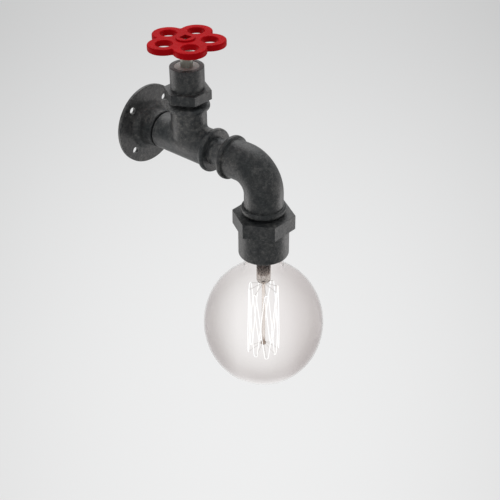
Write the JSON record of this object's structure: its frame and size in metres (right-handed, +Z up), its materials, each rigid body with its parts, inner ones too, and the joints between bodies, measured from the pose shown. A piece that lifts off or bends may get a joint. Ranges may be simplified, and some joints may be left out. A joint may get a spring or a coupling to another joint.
{
  "type": "industrial pipe wall light",
  "caption": "Wall light built from pipe fittings: round wall flange, tee with a valve handwheel dimmer, elbow, and a screw-in globe lamp hanging from a hexagonal cup.",
  "frame": {"origin": "centre of the wall flange's back face, on the wall", "axes": "+Y into the wall, +Z up, X across; the light stands out along -Y"},
  "size_m": [0.095, 0.1675, 0.2716],
  "materials": {
    "black_iron": "blackened malleable iron, mottled, waxed",
    "red_paint": "red enamel on cast metal, satin",
    "pale_metal": "bare, matte",
    "zinc": "zinc plated",
    "phenolic": "moulded black phenolic",
    "white_nylon": "natural nylon",
    "brass": "bare stamped brass",
    "brown_pvc": "PVC insulation",
    "black_pvc": "PVC insulation",
    "blue_pvc": "PVC insulation",
    "green_yellow_pvc": "PVC insulation, striped",
    "nickel": "nickel plated sheet",
    "solder": "bright solder",
    "black_glass": "opaque black glass",
    "smoked_glass": "smoked, slightly pink, blown",
    "clear_glass": "clear",
    "glowing_wire": "filament wire, glowing white",
    "fine_wire": "drawn fine wire"
  },
  "bodies": {
    "fixture": {"wall_flange": "black_iron", "rear_nipple": "black_iron", "tee": "black_iron", "arm_nipple": "black_iron", "elbow": "black_iron", "lamp_cup": "black_iron", "bonnet": "black_iron", "bonnet_bush": "pale_metal", "dimmer_case": "zinc", "dimmer_base": "phenolic", "dimmer_tags": "brass", "dimmer_washer": "zinc", "dimmer_nut": "zinc", "terminal_block": "white_nylon", "terminal_inserts": "brass", "terminal_screws": "zinc", "live_lead": "brown_pvc", "switched_live_lead": "black_pvc", "neutral_lead": "blue_pvc", "earth_lead": "green_yellow_pvc", "earth_tag": "brass", "lampholder_body": "phenolic", "lampholder_screws": "zinc", "holder_terminals": "brass", "holder_terminal_screws": "zinc", "centre_contact": "brass", "screw_shell": "brass"},
    "valve_wheel": {"handwheel": "red_paint", "spindle": "pale_metal", "dimmer_rotor": "zinc"},
    "lamp_contact": {"cap_contact": "solder"},
    "lamp": {"cap_insulator": "black_glass", "cap_shell": "nickel", "bulb_glass": "smoked_glass", "bulb_mount": "clear_glass", "bulb_rod": "clear_glass", "filament_1": "glowing_wire", "filament_2": "glowing_wire", "filament_supports": "fine_wire", "lead_wires": "fine_wire"}
  },
  "joints": [
    {"name": "dimmer_turn", "type": "hinge", "parent": "fixture", "child": "valve_wheel", "pos_m": [0, -0.046, 0.07], "axis": [0, 0, 1], "range_deg": [-270, 0]},
    {"name": "lamp_travel", "type": "slide", "parent": "fixture", "child": "lamp_contact", "axis": [0, 0, -1], "range_m": [0, 0.01817]},
    {"name": "lamp_turn", "type": "hinge", "parent": "lamp_contact", "child": "lamp", "pos_m": [0, -0.12, -0.07], "axis": [0, 0, -1], "range_deg": [0, 1800]}
  ],
  "couplings": [
    {"joint": "lamp_travel", "follows": "lamp_turn", "m_per_rad": 0.00057757}
  ]
}
